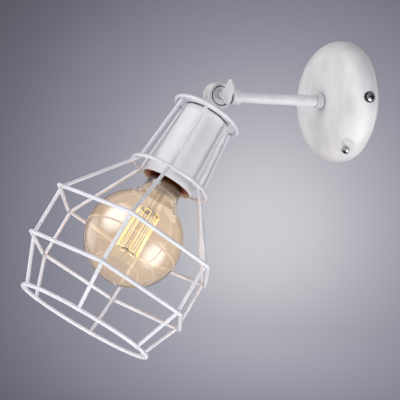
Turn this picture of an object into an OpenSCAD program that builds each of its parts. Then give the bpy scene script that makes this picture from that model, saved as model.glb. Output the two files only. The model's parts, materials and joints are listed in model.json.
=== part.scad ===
// Wall spotlight with an open wire cage.
// A round canopy on the wall carries a straight arm along -Y, a two-disc knuckle and a wire cage
// that stands round a globe bulb. The origin is the centre of the canopy's back, on the wall.

/* [Canopy] */
// Radius of the canopy at the wall
canopy_r = 55.6; // [52:0.2:60]
// Distance from the wall to the crown of the canopy's face
canopy_depth = 23.4; // [22.5:0.1:26]
// Distance from the wall to the crease round the face
crease_depth = 21.4; // [20.5:0.1:22]
// Radius of the pressed shoulder between the side and the face
shoulder_r = 16; // [13:0.5:18]
// Thickness of the pressed steel
canopy_wall = 1.2; // [0.8:0.1:1.6]
// Radius of the round pocket round each side screw
pocket_r = 5.2; // [4.8:0.1:5.6]
// Distance of each pocket's floor from the canopy's axis
pocket_floor = 51; // [50:0.1:52]
// Distance of the side screws from the wall
side_screw_y = 8; // [7.6:0.1:9]
// Radius of the round dimple pressed into the shoulder
dimple_r = 5.7; // [5:0.1:6]

/* [Wall fixing] */
// Distance between the two wall screws
wall_spacing = 60; // [54:1:64]
// Width of the slots that the wall screws pass through
slot_width = 4.6; // [4:0.1:5.5]
// Length of those slots, end to end
slot_length = 12; // [8:0.5:14]

/* [Arm] */
// Distance from the wall to the knuckle's pivot
arm_reach = 129.6; // [110:0.2:200]
// Outer diameter of the arm tube
arm_d = 10; // [9.6:0.1:10.4]

/* [Knuckle] */
// Radius of the two discs
knuckle_r = 12.1; // [11.8:0.1:12.3]
// Outer radius of the round collar that takes the arm tube
knuckle_collar_r = 7.3; // [6.8:0.1:7.6]
// Lean of the wing screw's leaf towards the wall, in degrees from upright
leaf_lean = 15; // [0:1:45]
// Angle between the lamp head's axis and straight down
head_tilt = 33.2; // [0:0.2:60]

/* [Cage] */
// Diameter of the six ribs
rib_wire = 3; // [2.6:0.1:3.4]
// Diameter of the rings and hoops
ring_wire = 3.4; // [3:0.1:3.8]
// Distance of a rib's centre line from the head's axis at the top ring
rib_top_r = 26.9; // [26.5:0.1:28]
// The same distance at the neck ring
rib_neck_r = 32.7; // [31:0.1:36]
// The same distance at the upper hoop
rib_upper_r = 76.2; // [68:0.2:80]
// The same distance at the middle hoop
rib_middle_r = 75.6; // [66:0.2:80]
// Radius of the mouth ring's centre line
mouth_r = 58.1; // [52:0.1:64]
// Distance from the pivot to the top ring, along the head's axis
top_s = 21.1; // [21:0.1:21.4]
// Distance from the pivot to the neck ring
neck_s = 85.6; // [82:0.2:90]
// Distance from the pivot to the upper hoop
upper_s = 144.4; // [138:0.2:150]
// Distance from the pivot to the middle hoop
middle_s = 188.2; // [180:0.2:194]
// Distance from the pivot to the mouth ring
mouth_s = 225.6; // [218:0.2:235]

/* [Socket cup] */
// Distance from the pivot to the cup's open end
cup_mouth_s = 91.4; // [90:0.2:95]
// Outer radius of the cup at its closed end
cup_top_r = 21.3; // [21:0.1:22]
// Outer radius of the cup at its open end
cup_mouth_r = 23.2; // [22.4:0.1:24]

/* [Bulb] */
// Radius of the globe
globe_r = 42; // [38:0.5:47.5]
// Distance from the pivot to the globe's centre
globe_s = 145.8; // [142:0.2:150]
// Outer radius of the bulb's neck
neck_r = 15.9; // [15.5:0.1:16.3]
// Thickness of the glass
glass_wall = 0.8; // [0.6:0.1:1.2]
// Number of straight strands in the filament
strands = 12; // [6:2:16]

/* [Hidden] */
$fn = 96;

fit = 0.05;
slip = 0.3;

// Directions round the canopy's axis are 0 at +X and 90 at the top. A lean is measured from the
// wall's plane towards the room, and names a place on the shoulder by the way it faces.
side_screw_at = [0, 180];
side_screw_d = 4;
side_head_r = 4.25;
side_head_t = 3.3;
side_head_stand = 3;
dimple_at = -52.3;
dimple_lean = 43;
dimple_depth = 1.3;
lower_screw_at = -60;
lower_screw_lean = 35.5;
lower_screw_d = 3;
lower_head_r = 2.9;
lower_head_t = 2.1;
lower_ear_under = 3.6;
ear_gap = 0.3;
ear_t = 1.5;
side_ear_w = 12;
lower_ear_w = 10;
plate_t = 1.5;
plate_r = 43;
plate_hole_r = 10;
terminal_at = [0, 27];
terminal_pitch = 10;
terminal_size = [32, 15, 12];
terminal_screw_r = 1.9;
earth_screw_at = [-22, -20, 0];

arm_bore_d = arm_d - 2;
arm_inner_end = 12;
collar_flange_t = 3.4;
collar_sleeve_t = 3;

// The knuckle's discs meet in the plane of the arm's axis, with the slip gap between them
disc_t = 6.35;
disc_front = 5;
disc_round = 3;
recess_r = 8.7;
recess_floor = 2.6;
washer_r = 7.9;
washer_t = 2.1;
wing_shank_r = 2.5;
knuckle_end = arm_reach - 19.6;
knuckle_gap_r = knuckle_r + 0.6;

plate_s = 19.5;
cup_s = plate_s + 1.5;
foot_s = 12.6;
foot_r = 8.3;
// Half width of the front disc's leg, and how far down it is drawn in to clear the arm's collar
leg_waist = [8.8, 9];
nipple_r = 5;

cup_wall = 1;
cup_round = 3;
holder_r = 19.6;
holder_in_r = 16.8;
holder_top_s = 27;
holder_join_s = 47;
holder_mouth_s = 89.5;
insert_s = 60;
shell_r = 14;
cap_s = 63.5;
cap_end_s = 87;
cap_r = 13.2;
cap_wall = 0.6;
stem_s = 118;
hook_top_s = 120;
hook_low_s = 158;
hook_r = 10;
strand_d = 0.5;
bead_r = 1.8;

rib_at = [30, 90, 150, 210, 270, 330];
rib_bend_r = 4;
weld_bite = 0.3;
ring_offset = (rib_wire + ring_wire) / 2 - weld_bite;
rib_points = [
    [rib_top_r, -plate_s - 1.45],
    [rib_neck_r, -neck_s],
    [rib_upper_r, -upper_s],
    [rib_middle_r, -middle_s],
    [mouth_r, -mouth_s]
];

white = "whitesmoke";
steel = "silver";

// Local XY is the wall, with local Y upright, and local Z points into the room
module on_wall() rotate([90, 0, 0]) children();

// Local Z points outwards from the canopy's axis, at one distance from the wall
module outwards(angle, distance)
    on_wall() rotate([0, 0, angle]) translate([0, 0, distance]) rotate([0, 90, 0]) children();

// Local Z points squarely out of the shoulder, and local X down its slope to the wall
module on_shoulder(angle, lean)
    on_wall() rotate([0, 0, angle]) translate([canopy_r - shoulder_r, 0, crease_depth - shoulder_r])
        rotate([0, 90 - lean, 0]) translate([0, 0, shoulder_r]) children();

module at_pivot() translate([0, -arm_reach, 0]) children();

// Local Z runs back up the lamp head's axis, so a distance s from the pivot lies at z = -s
module on_head() at_pivot() rotate([-head_tilt, 0, 0]) children();

// Full turn of an outline given as [radius, s] round the head's axis
module head_turned(points) on_head() rotate_extrude() polygon([for (p = points) [p[0], -p[1]]]);

module tube(outer_r, inner_r, length) difference() {
    cylinder(r = outer_r, h = length);
    translate([0, 0, -1]) cylinder(r = inner_r, h = length + 2);
}

// Straight round rod between two points
module rod(from, to, d) {
    run = to - from;
    translate(from) rotate([0, acos(run[2] / norm(run)), atan2(run[1], run[0])])
        cylinder(d = d, h = norm(run), $fn = 24);
}

function heading(a, b) = atan2(b[1] - a[1], b[0] - a[0]);
function wrapped(t) = t > 180 ? t - 360 : t < -180 ? t + 360 : t;

wire_sides = 12;
bend_step = 15;

// Outline with each corner replaced by chords of an arc of the bend radius
function bent(points, bend_r, closed) = [for (i = [0 : len(points) - 1])
    let (
        count = len(points),
        here = points[i],
        before = points[(i + count - 1) % count],
        after = points[(i + 1) % count],
        way = heading(before, here),
        turn = closed || (i > 0 && i < count - 1) ? wrapped(heading(here, after) - way) : 0,
        side = sign(turn),
        cut = bend_r * tan(abs(turn) / 2),
        centre = here - cut * [cos(way), sin(way)] + side * bend_r * [-sin(way), cos(way)],
        chords = ceil(abs(turn) / bend_step)
    )
    for (k = [0 : chords]) turn == 0 ? here
        : centre + side * bend_r * [sin(way + turn * k / chords), -cos(way + turn * k / chords)]];

// Round wire along a flat outline, as one skin with a mitred ring of points at every bend point
module bent_wire(points, bend_r, d, closed = false) {
    path = bent(points, bend_r, closed);
    count = len(path);
    rings = [for (i = [0 : count - 1])
        let (
            into = closed || i > 0 ? heading(path[(i + count - 1) % count], path[i])
                : heading(path[0], path[1]),
            turn = closed || (i > 0 && i < count - 1)
                ? wrapped(heading(path[i], path[(i + 1) % count]) - into) : 0,
            way = into + turn / 2
        )
        for (k = [0 : wire_sides - 1])
            let (
                across = d / 2 * cos((k + 0.5) * 360 / wire_sides) / cos(turn / 2),
                up = d / 2 * sin((k + 0.5) * 360 / wire_sides)
            )
            [path[i][0] - sin(way) * across, path[i][1] + cos(way) * across, up]];
    skin = [for (i = [0 : count - (closed ? 1 : 2)], k = [0 : wire_sides - 1])
        let (here = i * wire_sides, next = (i + 1) % count * wire_sides, l = (k + 1) % wire_sides)
        [next + k, next + l, here + l, here + k]];
    start = [for (k = [0 : wire_sides - 1]) k];
    end = [for (k = [wire_sides - 1 : -1 : 0]) (count - 1) * wire_sides + k];
    polyhedron(rings, closed ? skin : concat(skin, [start, end]));
}

// Half of the canopy's section, drawn in by the sheet's thickness for its inner face
module canopy_section(inset) {
    crease_r = canopy_r - shoulder_r;
    intersection() {
        translate([0, inset > 0 ? -1 : 0]) square([canopy_r, canopy_depth + 2]);
        union() {
            translate([0, -1]) square([canopy_r - inset, crease_depth - shoulder_r + 1]);
            translate([crease_r, crease_depth - shoulder_r]) circle(r = shoulder_r - inset);
            polygon([[0, -1], [crease_r, -1], [crease_r, crease_depth - inset],
                [arm_d, canopy_depth - inset], [0, canopy_depth - inset]]);
        }
    }
}

module canopy() color(white) difference() {
    union() {
        on_wall() difference() {
            rotate_extrude() canopy_section(0);
            rotate_extrude() canopy_section(canopy_wall);
        }
        intersection() {
            on_wall() rotate_extrude() canopy_section(0);
            union() {
                for (angle = side_screw_at) outwards(angle, side_screw_y)
                    translate([0, 0, pocket_floor - canopy_wall])
                        cylinder(r = pocket_r + canopy_wall, h = canopy_r);
                on_shoulder(dimple_at, dimple_lean)
                    translate([0, 0, -dimple_depth - canopy_wall])
                        cylinder(r = dimple_r + canopy_wall, h = 10);
            }
        }
    }
    for (angle = side_screw_at) outwards(angle, side_screw_y) {
        translate([0, 0, pocket_floor]) cylinder(r = pocket_r, h = canopy_r);
        cylinder(d = side_screw_d + 0.6, h = canopy_r);
    }
    on_shoulder(dimple_at, dimple_lean)
        translate([0, 0, -dimple_depth]) cylinder(r = dimple_r, h = 10);
    on_shoulder(lower_screw_at, lower_screw_lean)
        translate([0, 0, -6]) cylinder(d = lower_screw_d + 0.4, h = 12);
    on_wall() cylinder(r = arm_d / 2 + fit, h = canopy_depth + 1);
}

// Ear that rises from the plate's rim, then leans square to the lower screw
module lower_ear() {
    foot_r = canopy_r - canopy_wall - 1.2;
    on_wall() rotate([0, 0, lower_screw_at]) {
        translate([plate_r - 5, -lower_ear_w / 2, 0])
            cube([foot_r - plate_r + 5, lower_ear_w, plate_t]);
        translate([foot_r - ear_t, -lower_ear_w / 2, 0]) cube([ear_t, lower_ear_w, 8.2]);
    }
    on_shoulder(lower_screw_at, lower_screw_lean)
        translate([-4.5, -lower_ear_w / 2, -lower_ear_under - ear_t])
            cube([4.5 + 6.4, lower_ear_w, ear_t]);
}

module mounting_plate() color(steel) {
    ear_at = pocket_floor - canopy_wall - ear_gap - ear_t;
    difference() {
        union() {
            on_wall() cylinder(r = plate_r, h = plate_t);
            for (angle = side_screw_at) on_wall() rotate([0, 0, angle]) {
                translate([plate_r - 5, -side_ear_w / 2, 0])
                    cube([ear_at + ear_t - plate_r + 5, side_ear_w, plate_t]);
                translate([ear_at, -side_ear_w / 2, 0])
                    cube([ear_t, side_ear_w, side_screw_y + 5]);
            }
            lower_ear();
        }
        on_wall() translate([0, 0, -1]) {
            cylinder(r = plate_hole_r, h = plate_t + 2);
            for (side = [-1, 1]) translate([side * wall_spacing / 2, 0, 0]) {
                for (end = [-1, 1]) translate([end * (slot_length - slot_width) / 2, 0, 0])
                    cylinder(d = slot_width, h = plate_t + 2);
                translate([-(slot_length - slot_width) / 2, -slot_width / 2, 0])
                    cube([slot_length - slot_width, slot_width, plate_t + 2]);
            }
            translate(earth_screw_at) cylinder(r = 2, h = plate_t + 2);
        }
        for (angle = side_screw_at) outwards(angle, side_screw_y)
            cylinder(d = side_screw_d, h = canopy_r);
        on_shoulder(lower_screw_at, lower_screw_lean)
            translate([0, 0, -8]) cylinder(d = lower_screw_d, h = 8);
    }
}

// Head of a pan screw, from its flat foot at Z = 0
module pan_head(r, thickness) intersection() {
    cylinder(r = r, h = thickness);
    translate([0, 0, thickness - 1.6 * r]) sphere(r = 1.6 * r);
}

// The side screws are not driven home: each head stands clear of its pocket's floor
module side_screws() color(steel) {
    reach = pocket_floor + side_head_stand;
    for (angle = side_screw_at) outwards(angle, side_screw_y) {
        translate([0, 0, 45]) cylinder(d = side_screw_d, h = reach - 45);
        translate([0, 0, reach]) pan_head(side_head_r, side_head_t);
    }
}

module lower_screw() color(steel) on_shoulder(lower_screw_at, lower_screw_lean) {
    translate([0, 0, -7]) cylinder(d = lower_screw_d, h = 7);
    pan_head(lower_head_r, lower_head_t);
}

module terminal_screw_places()
    for (pole = [-1, 0, 1], row = [-1, 1])
        translate([terminal_at[0] + pole * terminal_pitch, terminal_at[1] + row * 4, plate_t])
            children();

module terminal_block() color("ivory") on_wall() difference() {
    translate([terminal_at[0] - terminal_size[0] / 2, terminal_at[1] - terminal_size[1] / 2, plate_t])
        cube(terminal_size);
    terminal_screw_places() translate([0, 0, 5]) cylinder(r = terminal_screw_r, h = 10);
    for (pole = [-1, 0, 1])
        translate([terminal_at[0] + pole * terminal_pitch, terminal_at[1] - 10, plate_t + 4])
            rotate([-90, 0, 0]) cylinder(r = 1.6, h = 20);
    for (gap = [-1, 1])
        translate([terminal_at[0] + gap * terminal_pitch / 2 - 0.8, terminal_at[1] - 10, plate_t + 8])
            cube([1.6, 20, 8]);
}

module terminal_screws() color("goldenrod") on_wall()
    terminal_screw_places() translate([0, 0, 5]) cylinder(r = terminal_screw_r, h = 5);

module earth_screw() color("goldenrod") on_wall() translate(earth_screw_at) {
    cylinder(r = 2, h = plate_t);
    translate([0, 0, plate_t]) cylinder(r = 4.6, h = 1);
    translate([0, 0, plate_t + 1]) cylinder(r = 3.6, h = 2.4);
}

module arm_collar() color(white) on_wall() difference() {
    union() {
        translate([0, 0, canopy_depth]) cylinder(r = arm_d / 2 + 1.5, h = collar_flange_t);
        translate([0, 0, canopy_depth + collar_flange_t])
            cylinder(r = arm_d / 2 + 0.8, h = collar_sleeve_t);
    }
    translate([0, 0, canopy_depth - 1]) cylinder(r = arm_d / 2, h = 10);
}

module arm_lock_washer() color(steel) on_wall()
    translate([0, 0, canopy_depth - canopy_wall - 1]) tube(8.4, arm_d / 2, 1);

module arm_lock_nut() color(steel) on_wall()
    translate([0, 0, canopy_depth - canopy_wall - 5]) difference() {
        cylinder(r = 8.1, h = 4, $fn = 6);
        translate([0, 0, -1]) cylinder(r = arm_d / 2, h = 6);
    }

module arm_tube() color(white) on_wall() translate([0, 0, arm_inner_end])
    tube(arm_d / 2, arm_bore_d / 2, knuckle_end + 4.4 - arm_inner_end);

// Rear disc of the knuckle with the collar that takes the arm tube
module arm_knuckle() color(white) difference() {
    union() {
        at_pivot() translate([-disc_t - slip / 2, 0, 0]) rotate([0, 90, 0])
            cylinder(r = knuckle_r, h = disc_t);
        difference() {
            on_wall() translate([0, 0, knuckle_end])
                cylinder(r = knuckle_collar_r, h = arm_reach - knuckle_end - 4);
            at_pivot() translate([-slip / 2, 0, 0]) rotate([0, 90, 0])
                cylinder(r = knuckle_gap_r, h = 10);
            at_pivot() translate([-10 - disc_t, 0, 0]) rotate([0, 90, 0])
                cylinder(r = 11, h = 10);
        }
    }
    on_wall() translate([0, 0, knuckle_end - 1]) cylinder(r = arm_d / 2, h = 5.4);
    at_pivot() translate([-10, 0, 0]) rotate([0, 90, 0])
        cylinder(r = wing_shank_r + fit, h = 20);
}

// Screw with one flat leaf, drawn as it stands: its axis is the knuckle's pivot
module wing_screw() color(white) at_pivot() rotate([-leaf_lean, 0, 0]) {
    translate([-disc_t + 0.3, 0, 0]) rotate([0, 90, 0])
        cylinder(r = wing_shank_r, h = disc_t + disc_front - 0.4);
    translate([disc_front - 0.1, 0, 0]) rotate([0, 90, 0]) cylinder(r = 3, h = 4);
    translate([disc_front - 0.2, 0, 0]) rotate([90, 0, 0]) linear_extrude(2.8, center = true)
        hull() {
            translate([12.4, 9.2]) circle(r = 4.4, $fn = 32);
            translate([15, 4.8]) circle(r = 4.8, $fn = 32);
            translate([14, -4.5]) circle(r = 4.3, $fn = 32);
            translate([6.5, 0]) circle(r = 3.5, $fn = 32);
        }
}

// Front disc with a rounded rim, on a leg that narrows to a round foot
module head_knuckle() color(white) on_head() {
    front = disc_front - slip / 2;
    difference() {
        union() {
            translate([slip / 2, 0, 0]) rotate([0, 90, 0]) rotate_extrude() {
                square([knuckle_r, front - disc_round]);
                square([knuckle_r - disc_round, front]);
                intersection() {
                    translate([knuckle_r - disc_round, front - disc_round])
                        circle(r = disc_round);
                    square([knuckle_r, front]);
                }
            }
            translate([slip / 2, 0, 0]) rotate([90, 0, 90]) linear_extrude(front - 1)
                polygon([[-knuckle_r + 0.4, -2.3], [knuckle_r - 0.4, -2.3],
                    [leg_waist[0], -leg_waist[1]], [foot_r, -plate_s],
                    [-foot_r, -plate_s], [-leg_waist[0], -leg_waist[1]]]);
            translate([0, 0, -plate_s]) cylinder(r = foot_r, h = plate_s - foot_s);
        }
        translate([recess_floor, 0, 0]) rotate([0, 90, 0]) cylinder(r = recess_r, h = 10);
        translate([-1, 0, 0]) rotate([0, 90, 0]) cylinder(r = wing_shank_r + 0.1, h = 10);
        translate([0, 0, -plate_s - 1]) cylinder(r = nipple_r, h = 6.8);
    }
}

module pressure_washer() color(white) on_head() translate([recess_floor, 0, 0])
    rotate([0, 90, 0]) tube(washer_r, wing_shank_r + 0.1, washer_t);

module head_nipple() color(steel) on_head() translate([0, 0, -34.4])
    tube(nipple_r, 3.6, 34.4 - plate_s + 5.6);

module nipple_nut() color(steel) on_head() translate([0, 0, -cup_s - 4]) difference() {
    cylinder(r = 8.1, h = 3, $fn = 6);
    translate([0, 0, -1]) cylinder(r = nipple_r, h = 5);
}

module cage_top_plate() color(white) on_head() translate([0, 0, -cup_s])
    tube(rib_top_r + 1.55, nipple_r, 1.5);

module wire_ring(centre_r, s) color(white) on_head() translate([0, 0, -s])
    rotate_extrude() translate([centre_r, 0]) circle(d = ring_wire, $fn = 32);

// Six-sided hoop whose corners wrap round the outside of the ribs
module wire_hoop(rib_r, s) color(white) on_head() translate([0, 0, -s])
    bent_wire([for (angle = rib_at) (rib_r + ring_offset / cos(30)) * [cos(angle), sin(angle)]],
        ring_offset, ring_wire, closed = true);

module cage_top_ring() wire_ring(rib_top_r + ring_offset + 0.2, top_s);
module cage_neck_ring() wire_ring(rib_neck_r + ring_offset, neck_s);
module cage_upper_hoop() wire_hoop(rib_upper_r, upper_s);
module cage_middle_hoop() wire_hoop(rib_middle_r, middle_s);
module cage_mouth_ring() wire_ring(mouth_r, mouth_s);

// Ribs stop on the near side of the mouth ring, where they are butt welded
module cage_rib(number) color(white) {
    last = rib_points[4] - rib_points[3];
    stop = rib_points[4] - last / norm(last) * (ring_wire / 2 - 0.4);
    on_head() rotate([0, 0, rib_at[number - 1]]) rotate([90, 0, 0])
        bent_wire([for (i = [0 : 4]) i < 4 ? rib_points[i] : stop], rib_bend_r, rib_wire);
}

// Corner of the cup's closed end, as a quarter turn of short chords
function cup_corner(inset) = [for (a = [90 : -15 : 0])
    [cup_top_r - cup_round + (cup_round - inset) * cos(a),
        cup_s + cup_round - (cup_round - inset) * sin(a)]];

module socket_cup() color(white) head_turned(concat(
    [[nipple_r, cup_s]], cup_corner(0),
    [[cup_mouth_r, cup_mouth_s], [cup_mouth_r - cup_wall, cup_mouth_s]],
    [for (i = [6 : -1 : 0]) cup_corner(cup_wall)[i]], [[nipple_r, cup_s + cup_wall]]));

module holder_cap() color("dimgray") head_turned([[nipple_r, holder_top_s], [7.5, holder_top_s],
    [7.5, 32], [15, 34.5], [holder_r, 40], [holder_r, holder_join_s],
    [holder_r - 2, holder_join_s], [holder_r - 2, 41], [13.8, 36.5], [nipple_r, 34.5]]);

module holder_body() color("gainsboro") head_turned([[holder_in_r, holder_join_s],
    [holder_r, holder_join_s], [holder_r, holder_mouth_s], [holder_in_r, holder_mouth_s]]);

module holder_insert() color("ivory") on_head() translate([0, 0, -insert_s])
    cylinder(r = holder_in_r, h = 12);

module holder_shell() color("goldenrod") on_head() translate([0, 0, -84])
    tube(shell_r, shell_r - 0.7, 84 - insert_s);

module holder_contact() color("goldenrod") on_head() translate([0, 0, -insert_s - 1.2])
    cylinder(r = 4, h = 1.2);

module bulb_contact() color(steel) on_head() translate([0, 0, -insert_s - 1.8])
    cylinder(r = 4.5, h = 0.6);

module bulb_insulator() color("black") head_turned([[0, insert_s + 1.8], [5, insert_s + 1.8],
    [cap_r - 0.5, cap_s], [0, cap_s]]);

module bulb_cap() color("goldenrod") on_head() translate([0, 0, -cap_end_s])
    tube(cap_r, cap_r - cap_wall, cap_end_s - cap_s);

// Half of the bulb's section: globe, concave throat and neck, drawn in for the inner face
module bulb_section(inset) {
    throat_s = globe_s - 48.8;
    gap = globe_s - throat_s;
    throat_r = (gap * gap - globe_r * globe_r + neck_r * neck_r) / (2 * (globe_r - neck_r));
    join = [neck_r + throat_r, -throat_s];
    lean = atan2(gap, neck_r + throat_r);
    touch = [globe_r * cos(lean), -globe_s + globe_r * sin(lean)];
    intersection() {
        translate([0, -globe_s - globe_r]) square([globe_r, globe_s + globe_r - 84]);
        union() {
            translate([0, -globe_s]) circle(r = globe_r - inset);
            polygon([[0, -84], [cap_r - cap_wall - inset, -84], [cap_r - cap_wall - inset, -cap_end_s],
                [neck_r - inset, -cap_end_s - 5], [neck_r - inset, -throat_s], [0, -throat_s]]);
            difference() {
                polygon([[0, -throat_s], join, touch, [0, -globe_s]]);
                translate(join) circle(r = throat_r + inset);
            }
        }
    }
}

module bulb_glass() color("wheat", 0.5) on_head() difference() {
    rotate_extrude() bulb_section(0);
    rotate_extrude() bulb_section(glass_wall);
    translate([0, 0, -84.5]) cylinder(r = cap_r - cap_wall - glass_wall, h = 1);
}

module bulb_stem() color("lightcyan", 0.6) head_turned([[0, cap_end_s - 2], [11.6, cap_end_s - 2],
    [11.6, cap_end_s - 1], [5, 96], [3.2, 103], [3.2, stem_s], [1.1, stem_s + 2],
    [1.1, hook_low_s + 1], [0, hook_low_s + 2]]);

module bulb_leads() color(steel) on_head()
    for (side = [-1, 1]) rod([0, side * 2.4, -stem_s + 1.2], hook(side > 0 ? 0 : strands - 1, 0), 0.7);

// Direction of each strand round the stem, with the leads' gap between the last and the first
function strand_at(i) = 105 + i * 330 / (strands - 1);

// Point at one distance from the stem's axis, in a strand's direction
function star_point(i, r, s) = [r * cos(strand_at(i)), r * sin(strand_at(i)), -s];
function hook(i, low) = star_point(i, hook_r, low == 1 ? hook_low_s : hook_top_s);

// Two stars of thin hooks, each on a small glass bead
module filament_hooks() color(steel) on_head() {
    translate([0, 0, -hook_top_s - 2.2]) tube(bead_r, 1.1, 1.4);
    for (i = [1 : strands - 2]) rod(star_point(i, bead_r - 0.3, hook_top_s + 1.5), hook(i, 0), strand_d);
    translate([0, 0, -hook_low_s + 0.8]) tube(bead_r, 1.1, 1.4);
    for (i = [0 : strands - 1]) rod(star_point(i, bead_r - 0.3, hook_low_s - 1.5), hook(i, 1), strand_d);
}

module filament() color("gold") on_head() {
    for (i = [0 : strands - 1])
        rod(star_point(i, hook_r, hook_top_s - 0.4), star_point(i, hook_r, hook_low_s + 0.4), strand_d);
    for (i = [0 : 2 : strands - 2]) rod(hook(i, 1), hook(i + 1, 1), 0.36);
    for (i = [1 : 2 : strands - 3]) rod(hook(i, 0), hook(i + 1, 0), 0.36);
}

canopy();
mounting_plate();
side_screws();
lower_screw();
terminal_block();
terminal_screws();
earth_screw();
arm_collar();
arm_lock_washer();
arm_lock_nut();
arm_tube();
arm_knuckle();
wing_screw();
head_knuckle();
pressure_washer();
head_nipple();
nipple_nut();
cage_top_plate();
cage_top_ring();
cage_neck_ring();
cage_upper_hoop();
cage_middle_hoop();
cage_mouth_ring();
cage_rib(1);  // cage_rib_1
cage_rib(2);  // cage_rib_2
cage_rib(3);  // cage_rib_3
cage_rib(4);  // cage_rib_4
cage_rib(5);  // cage_rib_5
cage_rib(6);  // cage_rib_6
socket_cup();
holder_cap();
holder_body();
holder_insert();
holder_shell();
holder_contact();
bulb_cap();
bulb_insulator();
bulb_contact();
bulb_glass();
bulb_stem();
bulb_leads();
filament_hooks();
filament();
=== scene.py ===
# %% [markdown]
# A white wall lamp with a wire cage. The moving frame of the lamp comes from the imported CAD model,
# and this lesson gives it its looks: bent wires, a blown amber bulb, cast joints and paint.
# Lengths are thought of in millimetres, as a maker does, and turned to metres at the last step.

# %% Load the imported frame
import json
import math

import bmesh
import bpy
from mathutils import Matrix, Vector

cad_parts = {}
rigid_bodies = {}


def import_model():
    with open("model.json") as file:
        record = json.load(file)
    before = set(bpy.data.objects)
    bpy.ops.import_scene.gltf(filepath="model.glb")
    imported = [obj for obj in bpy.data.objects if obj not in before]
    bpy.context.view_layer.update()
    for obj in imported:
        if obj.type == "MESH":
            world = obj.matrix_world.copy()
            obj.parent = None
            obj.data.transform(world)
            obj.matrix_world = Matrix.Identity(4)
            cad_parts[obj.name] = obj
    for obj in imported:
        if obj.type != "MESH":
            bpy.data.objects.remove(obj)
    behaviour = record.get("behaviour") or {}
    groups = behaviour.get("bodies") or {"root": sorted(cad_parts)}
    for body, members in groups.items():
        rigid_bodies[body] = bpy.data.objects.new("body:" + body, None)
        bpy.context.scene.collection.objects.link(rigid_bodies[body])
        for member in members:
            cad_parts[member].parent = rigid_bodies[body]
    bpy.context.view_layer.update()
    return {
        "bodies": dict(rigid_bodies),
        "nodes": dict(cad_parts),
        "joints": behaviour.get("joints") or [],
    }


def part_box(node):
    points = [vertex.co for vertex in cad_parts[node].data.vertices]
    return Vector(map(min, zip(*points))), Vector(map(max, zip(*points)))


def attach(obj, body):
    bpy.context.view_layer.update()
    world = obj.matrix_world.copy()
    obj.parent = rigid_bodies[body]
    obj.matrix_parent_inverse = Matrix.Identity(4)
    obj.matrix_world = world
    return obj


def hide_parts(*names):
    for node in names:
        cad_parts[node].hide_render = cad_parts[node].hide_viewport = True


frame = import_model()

nodes = frame["nodes"]

# %% [markdown]
# The camera stands level with the lamp head, to its right and in front of it, as in the photograph.
# A long lens is used, because a near camera would make the cage's mouth look too big beside its neck.
# Place, turn and lens were found by fitting the lamp's rings to the photograph.

# %% Camera
VIEW_AZIMUTH = math.radians(62.82)
CAMERA_PLACE = (0.81844, -0.56778, -0.09003)
LENS_MM, SENSOR_MM = 96.37, 36.0
camera_data = bpy.data.cameras.new("camera")
camera_data.lens = LENS_MM
camera_data.sensor_width = SENSOR_MM
camera = bpy.data.objects.new("camera", camera_data)
camera.location = CAMERA_PLACE
camera.rotation_euler = (math.pi / 2, 0, VIEW_AZIMUTH)
bpy.context.scene.collection.objects.link(camera)
bpy.context.scene.camera = camera

picture_right = Vector((math.cos(VIEW_AZIMUTH), math.sin(VIEW_AZIMUTH), 0))
towards_camera = Vector((math.sin(VIEW_AZIMUTH), -math.cos(VIEW_AZIMUTH), 0))
picture_up = Vector((0, 0, 1))
print("camera at", tuple(round(v, 3) for v in camera.location))

# %% [markdown]
# Blender's shaders work in linear light, while colours are picked and written as sRGB hex values.
# One function turns the second into the first. Another adds one shader node with its settings, the
# stops of its colour ramp and its links, which keeps each material below as short as its idea.

# %% Colour and node helpers
MM_PER_METRE = 1000.0
WHITE = (1, 1, 1, 1)


def colour(hex_value):
    """Linear colour with a full alpha, from an sRGB hex value."""
    parts = [int(hex_value[i:i + 2], 16) / 255 for i in (1, 3, 5)]
    linear = [p / 12.92 if p <= 0.04045 else ((p + 0.055) / 1.055) ** 2.4 for p in parts]
    return (*linear, 1.0)


def add(material, kind, settings=None, stops=(), **sockets):
    """Adds one node. A socket goes by its name, with _ for a space, or by n and its number."""
    node = material.node_tree.nodes.new(kind)
    for name, value in (settings or {}).items():
        setattr(node, name, value)
    for index, (position, tone) in enumerate(stops):
        elements = node.color_ramp.elements
        stop = elements[index] if index < len(elements) else elements.new(position)
        stop.position = position
        stop.color = tone
    for name, value in sockets.items():
        numbered = name[0] == "n" and name[1:].isdigit()
        socket = node.inputs[int(name[1:]) if numbered else name.replace("_", " ")]
        if isinstance(value, bpy.types.NodeSocket):
            material.node_tree.links.new(value, socket)
        else:
            socket.default_value = value
    return node


def new_material(name):
    """An empty material, ready for its nodes."""
    material = bpy.data.materials.new(name)
    material.use_nodes = True
    material.node_tree.nodes.clear()
    return material


def show(material, shader):
    """Links the finished shader to the material's surface."""
    output = add(material, "ShaderNodeOutputMaterial")
    material.node_tree.links.new(shader, output.inputs["Surface"])
    print("material", material.name, "has", len(material.node_tree.nodes), "nodes")
    return material


print("mid grey #808080 is", round(colour("#808080")[0], 3), "in linear light")

# %% [markdown]
# A bmesh is Blender's workbench for one mesh. Three small tools serve the whole lesson. One turns a
# finished bmesh into an object in the scene, one gives axes that face along a direction, and one
# picks points or edges out of what an operator returns.

# %% Workbench tools
def into_object(mesh, name, material):
    """Turns a bmesh into an object in the scene, smoothly shaded and with one material."""
    data = bpy.data.meshes.new(name)
    mesh.to_mesh(data)
    mesh.free()
    data.shade_smooth()
    data.materials.append(material)
    made = bpy.data.objects.new(name, data)
    bpy.context.scene.collection.objects.link(made)
    return made


def facing(at, way):
    """Axes at a point, whose Z runs the given way."""
    return Matrix.Translation(at) @ way.to_track_quat("Z", "Y").to_matrix().to_4x4()


def only(kind, geometry):
    """The points, edges or faces among what an operator returned."""
    return [item for item in geometry if isinstance(item, kind)]


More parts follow.
